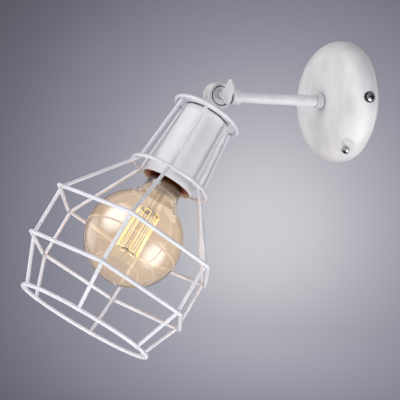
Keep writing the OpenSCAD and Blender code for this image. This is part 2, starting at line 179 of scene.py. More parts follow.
print("axes that face up:", [round(v) for v in facing(Vector(), picture_up).col[2]])

# %% [markdown]
# Most of the lamp is turned, spun or drawn: round about one axis. Such a piece is an outline of
# (radius, height) points that bmesh.ops.spin takes through a full turn. Real edges are never
# knife sharp, so each corner of an outline may have a fillet, drawn as a short arc.

# %% Outlines and turned pieces
def rounded(corners, chords=4):
    """Outline through (radius, height, fillet) corners, each fillet an arc of short chords."""
    outline = []
    for index, (radius, height, fillet) in enumerate(corners):
        here = Vector((radius, height))
        if fillet == 0:
            outline.append(tuple(here))
            continue
        back = (Vector(corners[index - 1][:2]) - here).normalized()
        ahead = (Vector(corners[(index + 1) % len(corners)][:2]) - here).normalized()
        half = back.angle(ahead) / 2
        centre = here + (back + ahead).normalized() * fillet / math.sin(half)
        first = here + back * fillet / math.tan(half) - centre
        last = here + ahead * fillet / math.tan(half) - centre
        for step in range(chords + 1):
            spoke = first.lerp(last, step / chords).normalized() * fillet
            outline.append(tuple(centre + spoke))
    return outline


def turned(outline, steps=96, closed=True):
    """Takes an outline of (radius, height) points through a full turn about Z."""
    mesh = bmesh.new()
    points = [mesh.verts.new((radius, 0, height)) for radius, height in outline]
    pairs = list(zip(points, points[1:])) + ([(points[-1], points[0])] if closed else [])
    lines = [mesh.edges.new(pair) for pair in pairs]
    bmesh.ops.spin(mesh, geom=points + lines, cent=(0, 0, 0), axis=(0, 0, 1), angle=math.tau,
                   steps=steps, use_merge=True)
    return mesh


corner = rounded([(2, 0, 0), (2, 2, 0.5), (0, 2, 0)])
print("a rounded corner has", len(corner) - 2, "points")

# %% [markdown]
# The photograph's backdrop is brightest behind the lamp and falls off to a grey violet. Paint on
# the stage does the same, as a painted pool of light: its tone follows the distance from that bright
# spot. It is lit as a dim wall, and it also shines a little by itself in what the eye, a mirror or a
# glass shows of it.

# %% Backdrop paint
SPOT_AHEAD, SPOT_RIGHT, SPOT_DOWN = 3.0, 0.174, 0.014
OWN_SHINE, PAINT_SHARE = 0.85, 0.5
LIGHT_POOL_TONES = [(0, "#dededf"), (0.15, "#cfcfd2"), (0.32, "#b1b1ba"), (0.5, "#9493a0"), (0.68, "#7e7d8b"),
         (0.82, "#6b6a77"), (1, "#56555f")]
# A painted pool of light is brightest at this spot, behind the lamp
painted_light_spot = (camera.location - SPOT_AHEAD * towards_camera + SPOT_RIGHT * picture_right
               - SPOT_DOWN * picture_up)

backdrop = new_material("painted_backdrop")
spot_distance = add(backdrop, "ShaderNodeVectorMath", {"operation": "DISTANCE"},
                    n0=add(backdrop, "ShaderNodeTexCoord").outputs["Object"],
                    n1=painted_light_spot).outputs["Value"]
falloff = add(backdrop, "ShaderNodeValToRGB", stops=[(at, colour(tone)) for at, tone in LIGHT_POOL_TONES],
              Fac=spot_distance)
falloff.color_ramp.interpolation = "B_SPLINE"
tone = falloff.outputs["Color"]
rays = add(backdrop, "ShaderNodeLightPath").outputs
seen = rays["Is Camera Ray"]
for other_way in ("Is Glossy Ray", "Is Transmission Ray"):
    seen = add(backdrop, "ShaderNodeMath", {"operation": "MAXIMUM"}, n0=seen,
               n1=rays[other_way]).outputs["Value"]
own_light = add(backdrop, "ShaderNodeMath", {"operation": "MULTIPLY"}, n0=seen, n1=OWN_SHINE)
dim = add(backdrop, "ShaderNodeVectorMath", {"operation": "SCALE"}, n0=tone, Scale=PAINT_SHARE)
paint = add(backdrop, "ShaderNodeBsdfDiffuse", Color=dim.outputs["Vector"])
shine = add(backdrop, "ShaderNodeEmission", Color=tone, Strength=own_light.outputs["Value"])
show(backdrop, add(backdrop, "ShaderNodeAddShader", n0=paint.outputs["BSDF"],
                   n1=shine.outputs["Emission"]).outputs["Shader"])

# %% [markdown]
# The stage is a wide pale bowl, a floor whose edge sweeps up into the backdrop, so that no corner
# shows from any side. It is turned from one line. Its faces point inwards, to where the lamp hangs.

# %% Stage
STAGE_FLOOR, STAGE_MIDDLE_Y = -0.62, -0.13
FLAT_RADIUS, SWEEP_RADIUS, BOWL_HEIGHT = 1.5, 0.8, 2.2
SWEEP_CHORDS = 12
# The floor starts a millimetre from its middle, so that no face there shrinks to a line
EYE_RADIUS = 0.001
line = [(EYE_RADIUS, STAGE_FLOOR), (FLAT_RADIUS, STAGE_FLOOR)]
for chord in range(1, SWEEP_CHORDS + 1):
    angle = math.radians(90 / SWEEP_CHORDS * chord)
    line.append((FLAT_RADIUS + SWEEP_RADIUS * math.sin(angle),
                 STAGE_FLOOR + SWEEP_RADIUS * (1 - math.cos(angle))))
line.append((FLAT_RADIUS + SWEEP_RADIUS, BOWL_HEIGHT))
bowl = turned(line, closed=False)
bmesh.ops.recalc_face_normals(bowl, faces=bowl.faces)
bmesh.ops.reverse_faces(bowl, faces=bowl.faces)
bmesh.ops.translate(bowl, verts=bowl.verts, vec=(0, STAGE_MIDDLE_Y, 0))
stage = into_object(bowl, "stage", backdrop)
print("stage faces:", len(stage.data.polygons))

# %% [markdown]
# Two large soft boxes light the lamp, as their two reflections in the globe show: one low on the
# right, which is the stronger on the paint, and one high on the left. Fills from the left, the
# front, below and behind and a grey world keep the far sides from going black. A real soft box is
# brightest in its middle, which an area lamp isn't, so the globe mirrors a glowing card for each
# box. The low card stands close to the lamp, because further off it would go through the floor. A
# third, weak card on the left gives the globe its pale left edge.

# %% Lamps and cards
LAMP_AIM = Vector((0, -0.17, -0.11))
# A card is evenly bright out to this part of its radius
CARD_CORE = 0.1


def lamp_place(right, up, near, distance):
    """Axes of a lamp that lights from the given side of the picture, with their Z away from the aim."""
    way = (right * picture_right + up * picture_up + near * towards_camera).normalized()
    return facing(LAMP_AIM + way * distance, way)


def unseen_lamp(name, kind, where, **settings):
    """A lamp that lights things, but that neither the eye nor a mirror nor a glass shows."""
    data = bpy.data.lights.new(name, kind)
    for setting, value in settings.items():
        setattr(data, setting, value)
    lamp = bpy.data.objects.new(name, data)
    lamp.matrix_world = where
    lamp.visible_camera = lamp.visible_glossy = lamp.visible_transmission = False
    bpy.context.scene.collection.objects.link(lamp)
    print("lamp", name, "of", round(data.energy, 2), "W")
    return lamp


def soft_box(name, right, up, near, distance, size, watts):
    """Round area lamp of the given size in metres."""
    unseen_lamp(name, "AREA", lamp_place(right, up, near, distance), shape="DISK", size=size,
                energy=watts)


def mirrored_card(name, right, up, near, distance, radius, strength):
    """Disc that only mirrors show, bright in its middle and dark at its rim."""
    where = lamp_place(right, up, near, distance)
    disc = bmesh.new()
    bmesh.ops.create_circle(disc, cap_ends=True, segments=48, radius=radius, matrix=where)
    shining = new_material(name + "_light")
    off_centre = add(shining, "ShaderNodeVectorMath", {"operation": "DISTANCE"},
                     n0=add(shining, "ShaderNodeTexCoord").outputs["Object"],
                     n1=where.translation).outputs["Value"]
    power = add(shining, "ShaderNodeMapRange", {"interpolation_type": "SMOOTHERSTEP"},
                Value=off_centre, From_Min=CARD_CORE * radius, From_Max=radius, To_Min=strength,
                To_Max=0.0)
    show(shining, add(shining, "ShaderNodeEmission", Strength=power.outputs["Result"]).outputs["Emission"])
    card = into_object(disc, name, shining)
    card.visible_camera = card.visible_diffuse = card.visible_transmission = card.visible_shadow = False


soft_box("low_right_box", right=0.70, up=-0.45, near=0.50, distance=1.3, size=1.0, watts=19.5)
soft_box("high_left_box", right=-0.53, up=0.76, near=0.38, distance=1.3, size=1.0, watts=7.0)
soft_box("left_fill", right=-0.9, up=-0.1, near=0.4, distance=1.8, size=1.6, watts=19.0)
soft_box("front_fill", right=0.1, up=0.0, near=1.0, distance=2.0, size=2.0, watts=8.0)
soft_box("under_fill", right=-0.1, up=-1.0, near=0.2, distance=0.48, size=1.6, watts=10.5)
soft_box("back_fill", right=0.2, up=0.35, near=-1.0, distance=1.8, size=1.6, watts=9.0)
mirrored_card("low_right_card", right=0.63, up=-0.58, near=0.51, distance=0.41, radius=0.32, strength=4.6)
mirrored_card("high_left_card", right=-0.58, up=0.70, near=0.41, distance=1.3, radius=1.15, strength=5.0)
mirrored_card("left_rim_card", right=-0.95, up=0.1, near=-0.3, distance=1.4, radius=0.9, strength=1.3)

# %% [markdown]
# The world is the light of the room round the stage: a cool pale grey, weak, and the same from all
# sides. The Standard view transform shows a colour as it is written.

# %% World
WORLD_STRENGTH = 0.4
world = bpy.data.worlds.new("studio")
bpy.context.scene.world = world
world.use_nodes = True
room = world.node_tree.nodes["Background"].inputs
room["Color"].default_value = colour("#d8d8de")
room["Strength"].default_value = WORLD_STRENGTH
bpy.context.scene.view_settings.view_transform = "Standard"
print("world strength", WORLD_STRENGTH)

# %% [markdown]
# The head hangs 33 degrees out of the upright, so its pieces would be awkward to draw where they
# are. They are drawn upright and in millimetres instead, with the joint's pivot as their origin,
# and a matrix puts each in its place. The matrices are read off the frame: the pivot from the
# tilting joint, and the tilt from the middle of the cage's mouth.

# %% Axes of the wall part and of the head
def middle(name):
    """Middle of a CAD node's box."""
    low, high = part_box(name)
    return (Vector(low) + Vector(high)) / 2


TO_METRES = Matrix.Scale(1 / MM_PER_METRE, 4)
pivot = Vector(next(j for j in frame["joints"] if j["name"] == "head_tilt")["pos_m"])
head_up = (pivot - middle("cage_mouth_ring")).normalized()
head_side = Vector((1, 0, 0))
head_turn = Matrix((head_side, head_up.cross(head_side), head_up)).transposed().to_4x4()
# In the head's axes Z runs back up the head, so what is 90 mm below the pivot has z = -90
HEAD = Matrix.Translation(pivot) @ head_turn @ TO_METRES
# In the wall's axes Z comes straight out of the wall, and Y points up
WALL = Matrix.Rotation(math.pi / 2, 4, "X") @ TO_METRES
PIVOT = Matrix.Translation(pivot) @ TO_METRES
print("head leans", round(math.degrees(head_up.angle(picture_up)), 2), "degrees")

# %% [markdown]
# Every piece ends in the same way: its seams are merged, its faces are pointed outwards, it is put in
# place and it is handed to the body it moves with. Edges sharper than 35 degrees stay sharp in the
# shading, and the rest is smooth. A piece may ask for another angle.

# %% Finish and place a piece
SEAM_MM = 0.004


def place(mesh, name, axes, body, material, *stands_for, sharp=35):
    """Finishes a piece drawn in millimetres, in the given axes, for the CAD nodes it stands for."""
    bmesh.ops.remove_doubles(mesh, verts=mesh.verts, dist=SEAM_MM)
    bmesh.ops.recalc_face_normals(mesh, faces=mesh.faces)
    bmesh.ops.transform(mesh, matrix=axes, verts=mesh.verts)
    piece = into_object(mesh, name, material)
    piece.data.set_sharp_from_angle(angle=math.radians(sharp))
    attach(piece, body)
    if stands_for:
        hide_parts(*stands_for)
    print(name, "has", len(piece.data.polygons), "faces")
    return piece


print("points closer than", SEAM_MM, "mm are merged")

# %% [markdown]
# Paint and metal have three layers of detail here. Blots of noise, at a real size, vary the colour
# and the gloss. Painted shade darkens the creases, where little light reaches: an Ambient Occlusion
# node finds them, and it finds the same ones from every side. A very fine relief ends the surface.
# Plastic and glaze are more even, and do without the painted shade.

# %% What the surfaces share
CREASE_RAYS = 8


def blots(material, size_mm, detail=3.0, stretch=(1, 1, 1), turn=(0, 0, 0)):
    """Soft blots about size_mm across, drawn out by stretch, that stay where they are on a piece."""
    on_piece = add(material, "ShaderNodeTexCoord").outputs["Object"]
    mapping = add(material, "ShaderNodeMapping", Vector=on_piece, Rotation=turn,
                  Scale=[MM_PER_METRE / size_mm / s for s in stretch])
    return add(material, "ShaderNodeTexNoise", Vector=mapping.outputs["Vector"],
               Scale=1.0, Detail=detail).outputs["Fac"]


def painted_crease_shade(material, unshaded, crease_mm, low, high, shade_tone):
    """Multiplies the unshaded colour by painted shade in creases, and by white from the openness high on.
    """
    # Painted shade: the less open sky the AO node finds, the darker the colour
    crease = add(material, "ShaderNodeAmbientOcclusion", {"samples": CREASE_RAYS},
                 Distance=crease_mm / MM_PER_METRE)
    crease_shade = add(material, "ShaderNodeValToRGB", stops=[(low, colour(shade_tone)), (high, WHITE)],
               Fac=crease.outputs["AO"])
    # A Mix node takes its two colours at sockets 6 and 7 and gives its own at output 2
    return add(material, "ShaderNodeMix", {"data_type": "RGBA", "blend_type": "MULTIPLY"},
               n0=1.0, n6=unshaded, n7=crease_shade.outputs["Color"]).outputs[2]


def finish_surface(material, tone, roughness, relief, strength, relief_mm, metallic=0.0):
    """Opaque surface over a fine relief."""
    bump = add(material, "ShaderNodeBump", Strength=strength, Distance=relief_mm / MM_PER_METRE,
               Height=relief)
    shader = add(material, "ShaderNodeBsdfPrincipled", Base_Color=tone, Metallic=metallic,
                 Roughness=roughness, Normal=bump.outputs["Normal"])
    return show(material, shader.outputs["BSDF"])


print("rays that look for a crease:", CREASE_RAYS)

# %% [markdown]
# The lamp is powder coated steel: sprayed with dry paint and baked, which gives a satin white skin
# with a very fine orange peel and small fillets in every corner. On the canopy the coat was rubbed,
# so that it has faint greyish smudges a few centimetres long. Both are noise, at real sizes.

# %% White powder coat
ORANGE_PEEL_MM, PEEL_HEIGHT_MM = 1.5, 0.2


def powder_coat(name, base, smudged, smudge_mm, stretch=(1, 1, 1), turn=(0, 0, 0), peel=0.10,
                crease_mm=1.6, shade_ramp=(0.25, 0.85)):
    """Satin white paint with smudges, orange peel, and grey painted shade that lines each joint thinly."""
    material = new_material(name)
    smudges = blots(material, smudge_mm, 5.0, stretch, turn)
    unshaded = add(material, "ShaderNodeValToRGB", Fac=smudges,
                stops=[(0.42, colour(base)), (0.66, colour(smudged))]).outputs["Color"]
    # Painted shade, grey, in the creases and joints of the coat
    tone = painted_crease_shade(material, unshaded, crease_mm, *shade_ramp, "#6a6a70")
    # A smudge is a little duller than the clean coat
    gloss = add(material, "ShaderNodeMapRange", Value=smudges, From_Min=0.3, From_Max=0.7,
                To_Min=0.36, To_Max=0.46).outputs["Result"]
    orange_peel = blots(material, ORANGE_PEEL_MM, 2.0)
    return finish_surface(material, tone, gloss, orange_peel, peel, PEEL_HEIGHT_MM)


# On the canopy the painted shade reaches 9 mm, and greys the dimple and the face round the collar
canopy_coat = powder_coat("white_powder_coat_rubbed", "#e4e4e6", "#d6d6d9", smudge_mm=18,
                          stretch=(1, 1, 1.8), turn=(0.5, 0, 0), crease_mm=9, shade_ramp=(0.1, 0.98))
cast_coat = powder_coat("white_powder_coat_on_casting", "#e6e6e8", "#dadadd", smudge_mm=7)
wire_coat = powder_coat("white_powder_coat_on_wire", "#e6e6ec", "#dcdce3", smudge_mm=12, peel=0.02)
cup_coat = powder_coat("white_powder_coat_on_cup", "#e6e6ea", "#dfdfe3", smudge_mm=24, peel=0.06)

# %% [markdown]
# The fixings are plated or bare metal. Metal has no colour of its own under the shine, so the
# Metallic value is 1 and the base colour is the colour of the reflection. A fine grain varies the
# roughness, because plating over stamped steel is never an even mirror, and painted shade darkens a
# recess or a thread at its bottom. Chrome is the palest and most even grey, zinc is darker and
# blotchier, the brass of the bulb's cap is painted dark brown as shade, since it sits deep in the
# holder, and solder and the nickel wires are dull.

# %% Metals
METAL_CREASE_MM = 2.0
GRAIN_HEIGHT_MM = 0.1


def metal(name, base, darker, roughness, grain_mm):
    """Plated or bare metal with a fine grain."""
    material = new_material(name)
    grain = blots(material, grain_mm, 4.0)
    plated = add(material, "ShaderNodeValToRGB", Fac=grain,
                 stops=[(0.3, colour(base)), (0.7, colour(darker))]).outputs["Color"]
    # Painted shade, nearly black, at the bottom of a recess or a thread
    tone = painted_crease_shade(material, plated, METAL_CREASE_MM, 0.5, 0.95, "#181619")
    gloss = add(material, "ShaderNodeMapRange", Value=grain, To_Min=roughness * 0.8,
                To_Max=roughness * 1.25).outputs["Result"]
    return finish_surface(material, tone, gloss, grain, 0.1, GRAIN_HEIGHT_MM, metallic=1.0)


zinc = metal("zinc_plated_steel", "#c9ccd0", "#a8abb0", 0.34, grain_mm=3.0)
chromed = metal("chromed_steel", "#dededf", "#c8c8ca", 0.33, grain_mm=2.0)
brass = metal("bare_brass", "#d9b36a", "#b98f47", 0.26, grain_mm=2.5)
# Painted shade: the cap's brass is made dark brown, as it sits deep in the holder
shaded_brass = metal("brass_darkened_by_painted_shade", "#7a5028", "#593618", 0.4, grain_mm=2.5)
solder = metal("dull_solder", "#a9a9a8", "#8a8a88", 0.45, grain_mm=1.2)
nickel = metal("drawn_nickel_wire", "#6f665c", "#4f4841", 0.4, grain_mm=0.8)

# %% [markdown]
# The holder is moulded from a brown phenolic plastic, whose smooth hard skin shines at its mouth.
# Porcelain and the black glass of the bulb's cap are shinier still, and the terminal block is a
# duller plastic. All have an even colour, so that faint flow marks and a fine grit are enough.

# %% Moulded and fired pieces
FLOW_MM, GRIT_MM, GRIT_HEIGHT_MM = 4.0, 0.6, 0.1


def moulded(name, base, darker, roughness):
    """Moulded plastic, glaze or cap glass."""
    material = new_material(name)
    flow = blots(material, FLOW_MM)
    tone = add(material, "ShaderNodeValToRGB", Fac=flow,
               stops=[(0.35, colour(base)), (0.65, colour(darker))]).outputs["Color"]
    grit = blots(material, GRIT_MM, 2.0)
    return finish_surface(material, tone, roughness, grit, 0.08, GRIT_HEIGHT_MM)


phenolic = moulded("brown_phenolic_plastic", "#7a3f1c", "#5e2f14", 0.22)
polyamide = moulded("ivory_polyamide", "#e6ddc4", "#dcd2b6", 0.5)
porcelain = moulded("glazed_porcelain", "#ece9df", "#e2ded1", 0.18)
cap_glass = moulded("black_cap_glass", "#141318", "#0c0b0f", 0.12)

# %% [markdown]
# The globe is thin blown glass with an amber lustre, a film that turns it pale champagne. It lets
# most light through, mirrors a little more than plain glass, and glows softly because the filament
# lights the film from inside. A ray on its way to a lamp goes straight through, as it nearly does in
# such thin glass, so that the lamps and the glow reach what is behind it.

# %% Glass
GLOBE_R, GLOBE_Z = 42.0, -145.8
GLASS_ROUGHNESS, GLASS_IOR = 0.02, 1.5
# The glow fades from the globe's radius to this distance from its middle, a little way up the neck
GLOW_END_MM = 55.0
GLOW = 0.066
# The film is painted dark brown towards the cap, as painted shade where the neck sits in the cup. A
# ramp counts from 0 to 1, so the distance is counted in steps of 100 mm
RAMP_SPAN_MM, NECK_PAINTED_SHADE = 100.0, (0.49, 0.56)


def blown_glass(name, film, through, clearness, lustre=False):
    """Clear glass. With a lustre it mirrors more, glows softly and has painted shade at the neck."""
    material = new_material(name)
    looks = {"Base_Color": colour(film), "Transmission_Weight": clearness,
             "Roughness": GLASS_ROUGHNESS, "IOR": GLASS_IOR}
    if lustre:
        far = add(material, "ShaderNodeVectorMath", {"operation": "DISTANCE"},
                  n0=add(material, "ShaderNodeTexCoord").outputs["Object"],
                  n1=HEAD @ Vector((0, 0, GLOBE_Z))).outputs["Value"]
        span = add(material, "ShaderNodeMath", {"operation": "MULTIPLY"}, n0=far,
                   n1=MM_PER_METRE / RAMP_SPAN_MM).outputs["Value"]
        # The brown at the neck is painted shade
        tones = zip(NECK_PAINTED_SHADE, (colour(film), colour("#6e4020")))
        looks["Base_Color"] = add(material, "ShaderNodeValToRGB", stops=tones, Fac=span).outputs["Color"]
        # The film mirrors more than bare glass, and a little less sharply
        looks |= {"Coat_Weight": 0.9, "Coat_IOR": 1.8, "Coat_Roughness": 0.06}
        looks["Emission_Color"] = colour("#fff4e0")
        looks["Emission_Strength"] = add(
            material, "ShaderNodeMapRange", {"interpolation_type": "SMOOTHSTEP"}, Value=far,
            From_Min=GLOBE_R / MM_PER_METRE, From_Max=GLOW_END_MM / MM_PER_METRE, To_Min=GLOW,
            To_Max=0.0).outputs["Result"]
    body = add(material, "ShaderNodeBsdfPrincipled", **looks)
    clear = add(material, "ShaderNodeBsdfTransparent", Color=colour(through))
    shadow = add(material, "ShaderNodeLightPath").outputs["Is Shadow Ray"]
    return show(material, add(material, "ShaderNodeMixShader", Fac=shadow, n1=body.outputs["BSDF"],
                              n2=clear.outputs["BSDF"]).outputs["Shader"])


amber_glass = blown_glass("amber_lustre_glass", "#fbf2df", "#fdf6e8", 0.96, lustre=True)
stem_glass = blown_glass("clear_stem_glass", "#f4f4ee", "#fafaf6", 0.95)

# %% [markdown]
# The filament is a carbon thread at working heat. It shines by itself, pale yellow, and some of its
# strands are a stronger yellow. The pattern that picks them is drawn out along the strands.

# %% Glowing filament
STRAND_LEAN = math.radians(-33.2)
FILAMENT_STRENGTH = 2.6
glowing = new_material("glowing_carbon_filament")
heat = blots(glowing, 5.0, 1.0, (1, 1, 12), (STRAND_LEAN, 0, 0))
hot = add(glowing, "ShaderNodeValToRGB", Fac=heat,
          stops=[(0.52, colour("#ffedb2")), (0.60, colour("#ffd400"))]).outputs["Color"]
show(glowing, add(glowing, "ShaderNodeEmission", Color=hot,
                  Strength=FILAMENT_STRENGTH).outputs["Emission"])

# %% [markdown]
# The cage is bent and welded wire, and it is most of what the eye follows. A curve with a bevel
# would make round wire too, but not its tight bends. Here a disc is pushed along each straight run
# and swung round each corner on a real bending radius, just as a wire bender does it.

# %% Wire bender
def edges_among(verts):
    """The edges that have both their ends among the given points."""
    chosen = set(verts)
    # A dictionary drops what comes twice and keeps the order of the rest
    return list(dict.fromkeys(e for v in verts for e in v.link_edges if set(e.verts) <= chosen))


def bent_wire(mesh, corners, bend, thickness, closed=False, sides=16, swing=math.radians(12)):
    """Round wire through the corners, with each corner bent to the given radius."""
    corners = [Vector(c) for c in corners]
    start = (corners[-1] + corners[0]) / 2 if closed else corners.pop(0)
    stops = corners + ([start] if closed else [])
    way = (stops[0] - start).normalized()
    ring = bmesh.ops.create_circle(mesh, cap_ends=not closed, segments=sides,
                                   radius=thickness / 2, matrix=facing(start, way))["verts"]
    at = start
    for index, stop in enumerate(stops):
        last = index == len(stops) - 1
        after = way if last else (stops[index + 1] - stop).normalized()
        turn = way.angle(after)
        reach = stop - way * bend * math.tan(turn / 2)
        pushed = bmesh.ops.extrude_edge_only(mesh, edges=edges_among(ring))["geom"]
        ring = only(bmesh.types.BMVert, pushed)
        bmesh.ops.translate(mesh, verts=ring, vec=reach - at)
        if not last and turn > 0:
            axis = way.cross(after).normalized()
            centre = reach + axis.cross(way) * bend
            swung = bmesh.ops.spin(mesh, geom=ring + edges_among(ring), cent=centre, axis=axis,
                                   angle=turn, steps=math.ceil(turn / swing))["geom_last"]
            ring = only(bmesh.types.BMVert, swung)
        at = stop + after * bend * math.tan(turn / 2)
        way = after
    if not closed:
        bmesh.ops.edgeloop_fill(mesh, edges=edges_among(ring))
    return mesh


sample = bent_wire(bmesh.new(), [(0, 0, 0), (20, 0, 0), (20, 20, 0)], 4.0, 3.0)
print("a wire with one square bend has", len(sample.faces), "faces")
sample.free()

# %% [markdown]
# Six ribs run from the top plate to the mouth. Each is one wire with three bends, and all six are
# the same, so a loop makes them.

# %% Ribs
RIB_WIRE, RING_WIRE = 3.0, 3.4
RIB_ANGLES = [math.radians(30 + 60 * k) for k in range(6)]
RIB_BEND = 4.0
RIB_END_BITE = 0.4
# Radius and height of a rib at its top, the neck ring, the two hoops and the mouth
RIB_STATIONS = [(26.9, -20.95), (32.7, -85.6), (76.2, -144.4), (75.6, -188.2), (58.1, -225.6)]


def round_head(angle, radius, height):
    """Point at an angle, a radius and a height about the head's axis."""
    return Vector((radius * math.cos(angle), radius * math.sin(angle), height))


# A rib ends inside the mouth ring, which it bites into
mouth_run = Vector(RIB_STATIONS[4]) - Vector(RIB_STATIONS[3])
rib_stop = Vector(RIB_STATIONS[4]) - mouth_run.normalized() * (RING_WIRE / 2 - RIB_END_BITE)
for number, angle in enumerate(RIB_ANGLES, 1):
    stations = [round_head(angle, *s) for s in (*RIB_STATIONS[:4], rib_stop)]
    rib = bent_wire(bmesh.new(), stations, RIB_BEND, RIB_WIRE)
    place(rib, "bent_rib_%d" % number, HEAD, "lamp_head", wire_coat, "cage_rib_%d" % number)

# %% [markdown]
# The three rings are closed circles of wire, so an outline that is itself a circle is turned. The two
# six-sided hoops come from the wire bender, and their corners wrap round the ribs. All but the
# mouth ring, where the ribs end, are welded outside the ribs. A flat drop of weld metal and paint
# lies at each crossing.

# %% Rings and hoops
WELD_BITE = 0.4
RING_OFFSET = (RIB_WIRE + RING_WIRE) / 2 - WELD_BITE
WELD_LENGTH, WELD_WIDTH, WELD_DEPTH = 2.1, 2.1, 1.1
TOP_RING_GAP, TOP_RING_Z, MOUTH_WELD_BACK = 0.2, -21.1, 0.6
RING_SIDES, RING_STEPS = 16, 120
WIRE_SHARP = 80
HEAD_AXIS = Vector((0, 0, 1))


def weld_beads(mesh, radius, height):
    """A weld bead at each rib, in the groove between the rib and the ring or hoop."""
    for angle in RIB_ANGLES:
        across = Vector((-math.sin(angle), math.cos(angle), 0))
        out = HEAD_AXIS.cross(across).normalized()
        spread = Matrix((HEAD_AXIS * WELD_LENGTH, across * WELD_WIDTH, out * WELD_DEPTH))
        where = Matrix.Translation(round_head(angle, radius, height)) @ spread.transposed().to_4x4()
        bmesh.ops.create_icosphere(mesh, subdivisions=2, radius=1.0, matrix=where)


def cage_ring(name, radius, height, bead_radius, node):
    """Round ring of wire with its weld beads."""
    turns = [math.tau * k / RING_SIDES for k in range(RING_SIDES)]
    mesh = turned([(radius + RING_WIRE / 2 * math.cos(t), height + RING_WIRE / 2 * math.sin(t))
                   for t in turns], steps=RING_STEPS)
    weld_beads(mesh, bead_radius, height)
    place(mesh, name, HEAD, "lamp_head", wire_coat, node, sharp=WIRE_SHARP)


def cage_hoop(name, rib_radius, height, node):
    """Six-sided hoop of wire with its weld beads."""
    corner_radius = rib_radius + RING_OFFSET / math.cos(math.radians(30))
    corners = [round_head(angle, corner_radius, height) for angle in RIB_ANGLES]
    mesh = bent_wire(bmesh.new(), corners, RING_OFFSET, RING_WIRE, closed=True)
    weld_beads(mesh, rib_radius + RIB_WIRE / 2, height)
    place(mesh, name, HEAD, "lamp_head", wire_coat, node, sharp=WIRE_SHARP)


(top_r, _), (neck_r, neck_z), (upper_r, upper_z), (lower_r, lower_z), (mouth_r, mouth_z) = RIB_STATIONS
cage_ring("welded_top_ring", top_r + RING_OFFSET + TOP_RING_GAP, TOP_RING_Z, top_r + RIB_WIRE / 2,
          "cage_top_ring")
cage_ring("welded_neck_ring", neck_r + RING_OFFSET, neck_z, neck_r + RIB_WIRE / 2, "cage_neck_ring")
cage_hoop("welded_upper_hoop", upper_r, upper_z, "cage_upper_hoop")
cage_hoop("welded_middle_hoop", lower_r, lower_z, "cage_middle_hoop")
cage_ring("welded_mouth_ring", mouth_r, mouth_z, mouth_r - MOUTH_WELD_BACK, "cage_mouth_ring")

# %% [markdown]
# The canopy is one disc of steel sheet, spun to shape and then pressed. Its outline is a straight
# side, a round shoulder and a face that rises a little towards the arm. Two kinds of axes say where
# a tool meets it: squarely to its side, or squarely to its shoulder.

# %% Canopy outline and tool axes
CANOPY_R, CANOPY_DEPTH, CREASE_DEPTH, SHOULDER_R, SHEET = 55.6, 23.4, 21.4, 16.0, 1.2
ARM_R = 5.0
# The face is flat near the arm, and the sheet clears the arm by a hair
ARM_FLAT_R, ARM_EDGE_R, ARM_HOLE_R = 2 * ARM_R, ARM_R + 2, ARM_R + 0.05
SIDE_CHORDS, SHOULDER_STEP, SHOULDER_END, FACE_CHORDS = 3, 4, 88, 16
crease_r = CANOPY_R - SHOULDER_R
shoulder_z = CREASE_DEPTH - SHOULDER_R


def sheet_outline():
    """(radius, height) points of the outer side, from the wall to the hole for the arm."""
    side = [(CANOPY_R, shoulder_z * k / SIDE_CHORDS) for k in range(SIDE_CHORDS)]
    shoulder = [(crease_r + SHOULDER_R * math.cos(math.radians(a)),
                 shoulder_z + SHOULDER_R * math.sin(math.radians(a)))
                for a in range(0, SHOULDER_END, SHOULDER_STEP)]
    face = [(crease_r + (ARM_FLAT_R - crease_r) * k / FACE_CHORDS,
             CREASE_DEPTH + (CANOPY_DEPTH - CREASE_DEPTH) * math.sin(math.pi / 2 * k / FACE_CHORDS))
            for k in range(1, FACE_CHORDS + 1)]
    return side + shoulder + face + [(ARM_EDGE_R, CANOPY_DEPTH), (ARM_HOLE_R, CANOPY_DEPTH)]


def outwards(degrees, height):
    """Axes whose Z points outwards from the canopy's axis, at a height above the wall."""
    return (Matrix.Rotation(math.radians(degrees), 4, "Z") @ Matrix.Translation((0, 0, height))
            @ Matrix.Rotation(math.pi / 2, 4, "Y"))


def on_shoulder(degrees, lean):
    """Axes whose Z points squarely out of the shoulder, from a point on it."""
    return (Matrix.Rotation(math.radians(degrees), 4, "Z")
            @ Matrix.Translation((crease_r, 0, shoulder_z))
            @ Matrix.Rotation(math.radians(90 - lean), 4, "Y") @ Matrix.Translation((0, 0, SHOULDER_R)))


print("canopy outline has", len(sheet_outline()), "points")

# %% [markdown]
# The canopy is worked as its maker works it. The sheet is cut finer where the press will come down,
# so that there are points to move. The press pushes them in to a flat floor with a soft rim, a punch
# makes the screw holes, and at the end a Solidify modifier gives the sheet its thickness.

# %% Press, punch and canopy
# The sheet is cut finer from 4 mm behind a tool's face on, and a punch reaches 2 mm either way
FINER_CUTS, FINER_FROM, PUNCH_REACH = 4, -4, 2
SIDE_SCREWS = [outwards(0, 8.0), outwards(180, 8.0)]
SIDE_POCKET_R, SIDE_SHIFT, SIDE_FLOOR, SIDE_STAND = 4.7, 1.1, 51.0, 3.0
SIDE_RIM, SIDE_FINE_R, SIDE_HOLE_R = 0.6, 8.0, 2.3
DIMPLE_LEAN = math.radians(-7)
DIMPLE = on_shoulder(-52.3, 43) @ Matrix.Rotation(DIMPLE_LEAN, 4, "Y")
DIMPLE_R, DIMPLE_DEPTH, DIMPLE_RIM, DIMPLE_FINE_R = 5.7, 2.0, 0.8, 9.5
LOWER_SCREW = on_shoulder(-60, 35.5)
LOWER_HOLE_R = 1.7


def refine(mesh, axes, radius):
    """Cuts the sheet finer round an axis, on the side that the axis comes out of."""
    back = axes.inverted()
    near = [v for v in mesh.verts
            if (back @ v.co).z > FINER_FROM and (back @ v.co).xy.length < radius]
    bmesh.ops.subdivide_edges(mesh, edges=edges_among(near), cuts=FINER_CUTS, use_grid_fill=True)


